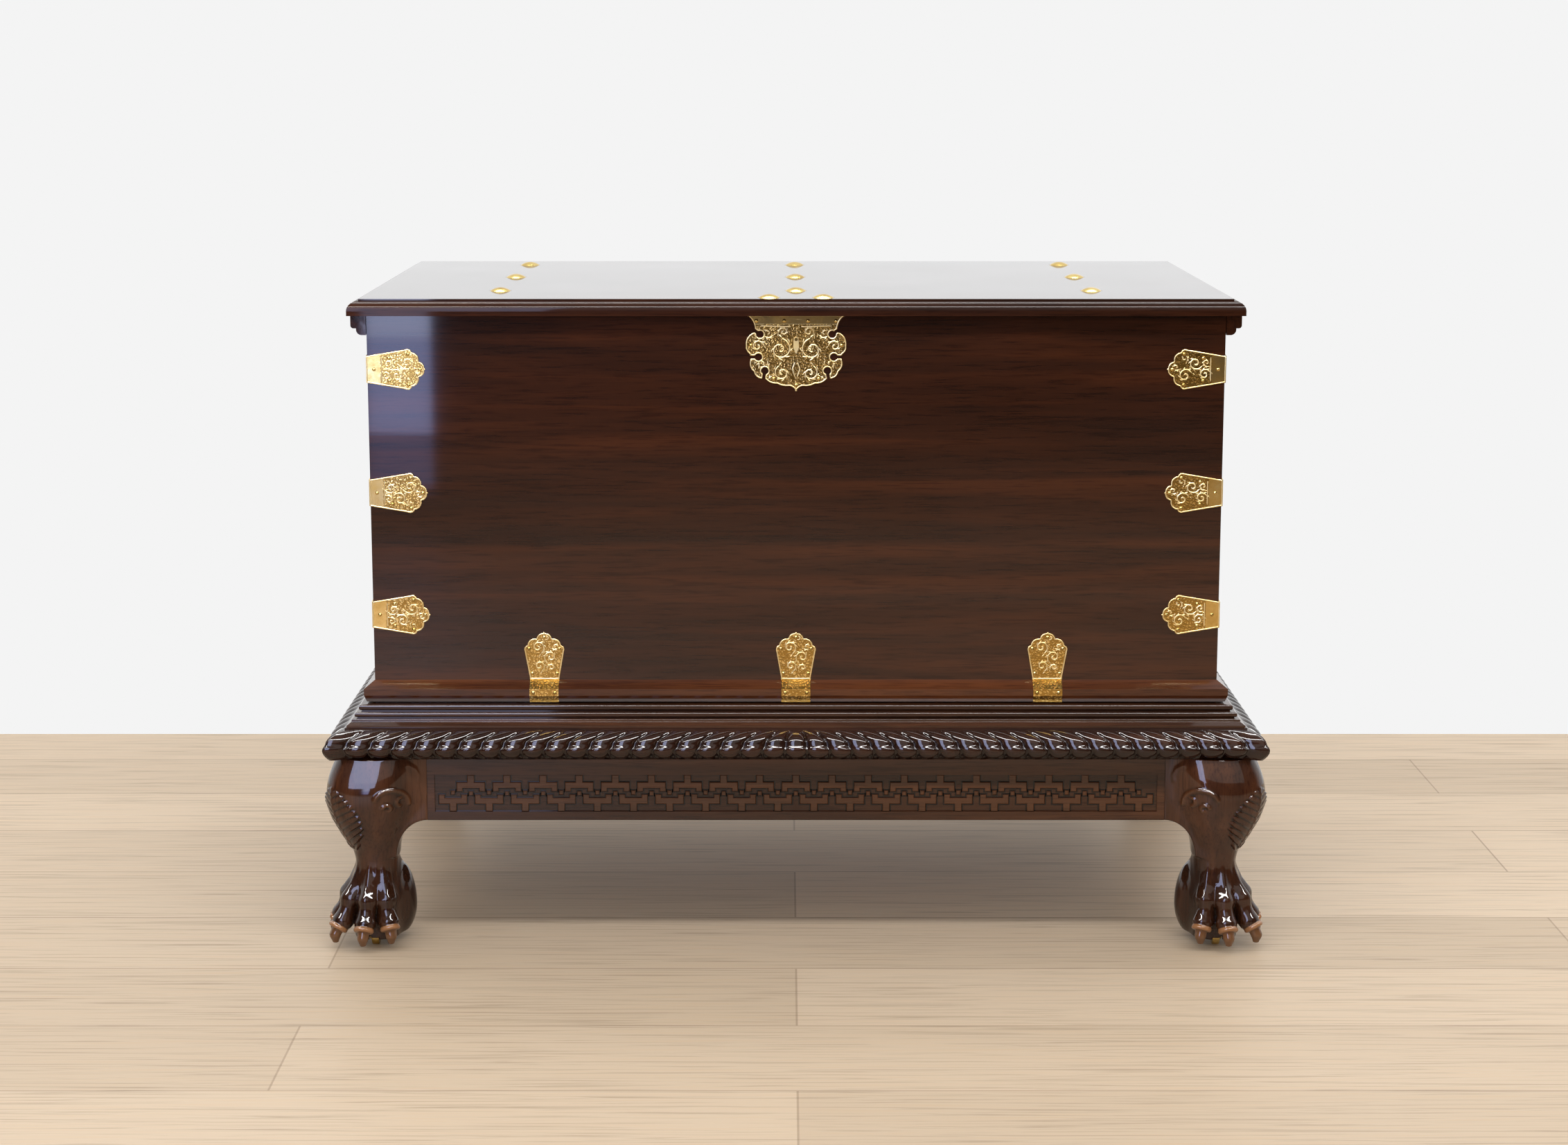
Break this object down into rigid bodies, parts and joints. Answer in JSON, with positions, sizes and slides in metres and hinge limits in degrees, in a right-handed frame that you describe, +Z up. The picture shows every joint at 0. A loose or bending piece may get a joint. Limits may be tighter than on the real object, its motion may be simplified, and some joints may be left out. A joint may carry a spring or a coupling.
{
  "type": "chest on stand",
  "caption": "Lacquered hardwood chest with engraved brass straps and a hinged lid, on a stand with a gadrooned edge, fretted aprons and carved paw feet over casters.",
  "frame": {"origin": "on the floor under the middle of the stand", "axes": "+Z up, -Y is the lock side, +X to the right seen from the lock side"},
  "size_m": [1.1374, 0.676, 0.7914],
  "materials": {
    "lacquered_wood": "gloss lacquer",
    "stand_wood": "polished",
    "plain_wood": "bare",
    "engraved_brass": "engraved, worn polish",
    "cast_brass": "dull",
    "black_iron": "forged, oiled"
  },
  "bodies": {
    "chest": {"apron_back": "stand_wood", "apron_front": "stand_wood", "apron_left": "stand_wood", "apron_right": "stand_wood", "back_board": "lacquered_wood", "base_moulding_back": "lacquered_wood", "base_moulding_front": "lacquered_wood", "base_moulding_left": "lacquered_wood", "base_moulding_right": "lacquered_wood", "base_strap_pins": "engraved_brass", "base_straps": "engraved_brass", "bottom_board": "plain_wood", "caster_sockets": "cast_brass", "corner_strap_pins": "engraved_brass", "corner_straps_back": "engraved_brass", "corner_straps_front": "engraved_brass", "front_board": "lacquered_wood", "gadroon_rail_back": "stand_wood", "gadroon_rail_front": "stand_wood", "gadroon_rail_left": "stand_wood", "gadroon_rail_right": "stand_wood", "glue_blocks": "plain_wood", "hinge_case_leaves": "black_iron", "hinge_pins": "black_iron", "hinge_screws": "black_iron", "keyhole_cover_pin": "engraved_brass", "left_end_board": "lacquered_wood", "leg_back_left": "stand_wood", "leg_back_right": "stand_wood", "leg_front_left": "stand_wood", "leg_front_right": "stand_wood", "lock_case": "black_iron", "lock_plate": "engraved_brass", "lock_plate_pins": "engraved_brass", "right_end_board": "lacquered_wood", "stand_screws": "black_iron", "stepped_moulding_back": "stand_wood", "stepped_moulding_front": "stand_wood", "stepped_moulding_left": "stand_wood", "stepped_moulding_right": "stand_wood"},
    "lid": {"lid_panel": "lacquered_wood", "lid_cleat_left": "lacquered_wood", "lid_cleat_right": "lacquered_wood", "lid_studs": "engraved_brass", "link_studs": "engraved_brass", "stud_nuts": "black_iron", "link_plate": "black_iron", "hinge_lid_straps": "black_iron"},
    "lock_bolt": {"lock_bolt": "black_iron"},
    "keyhole_cover": {"keyhole_cover": "engraved_brass"},
    "caster_swivel_front_left": {"caster_horn_front_left": "cast_brass"},
    "caster_roller_front_left": {"caster_wheel_front_left": "cast_brass"},
    "caster_swivel_front_right": {"caster_horn_front_right": "cast_brass"},
    "caster_roller_front_right": {"caster_wheel_front_right": "cast_brass"},
    "caster_swivel_back_left": {"caster_horn_back_left": "cast_brass"},
    "caster_roller_back_left": {"caster_wheel_back_left": "cast_brass"},
    "caster_swivel_back_right": {"caster_horn_back_right": "cast_brass"},
    "caster_roller_back_right": {"caster_wheel_back_right": "cast_brass"}
  },
  "joints": [
    {"name": "lid_hinge", "type": "hinge", "parent": "chest", "child": "lid", "pos_m": [0, 0.2825, 0.768], "axis": [-1, 0, 0], "range_deg": [0, 97]},
    {"name": "lock_bolt_slide", "type": "slide", "parent": "chest", "child": "lock_bolt", "axis": [1, 0, 0], "range_m": [0, 0.012]},
    {"name": "keyhole_cover_swing", "type": "hinge", "parent": "chest", "child": "keyhole_cover", "pos_m": [0, -0.2792, 0.739], "axis": [0, -1, 0], "range_deg": [-70, 70]},
    {"name": "caster_swivel_front_left", "type": "hinge", "parent": "chest", "child": "caster_swivel_front_left", "pos_m": [-0.511, -0.281, 0.03], "axis": [0, 0, 1], "continuous": true},
    {"name": "caster_roll_front_left", "type": "hinge", "parent": "caster_swivel_front_left", "child": "caster_roller_front_left", "pos_m": [-0.511, -0.29, 0.011], "axis": [1, 0, 0], "continuous": true},
    {"name": "caster_swivel_front_right", "type": "hinge", "parent": "chest", "child": "caster_swivel_front_right", "pos_m": [0.511, -0.281, 0.03], "axis": [0, 0, 1], "continuous": true},
    {"name": "caster_roll_front_right", "type": "hinge", "parent": "caster_swivel_front_right", "child": "caster_roller_front_right", "pos_m": [0.511, -0.29, 0.011], "axis": [1, 0, 0], "continuous": true},
    {"name": "caster_swivel_back_left", "type": "hinge", "parent": "chest", "child": "caster_swivel_back_left", "pos_m": [-0.511, 0.281, 0.03], "axis": [0, 0, 1], "continuous": true},
    {"name": "caster_roll_back_left", "type": "hinge", "parent": "caster_swivel_back_left", "child": "caster_roller_back_left", "pos_m": [-0.511, 0.272, 0.011], "axis": [1, 0, 0], "continuous": true},
    {"name": "caster_swivel_back_right", "type": "hinge", "parent": "chest", "child": "caster_swivel_back_right", "pos_m": [0.511, 0.281, 0.03], "axis": [0, 0, 1], "continuous": true},
    {"name": "caster_roll_back_right", "type": "hinge", "parent": "caster_swivel_back_right", "child": "caster_roller_back_right", "pos_m": [0.511, 0.272, 0.011], "axis": [1, 0, 0], "continuous": true}
  ]
}
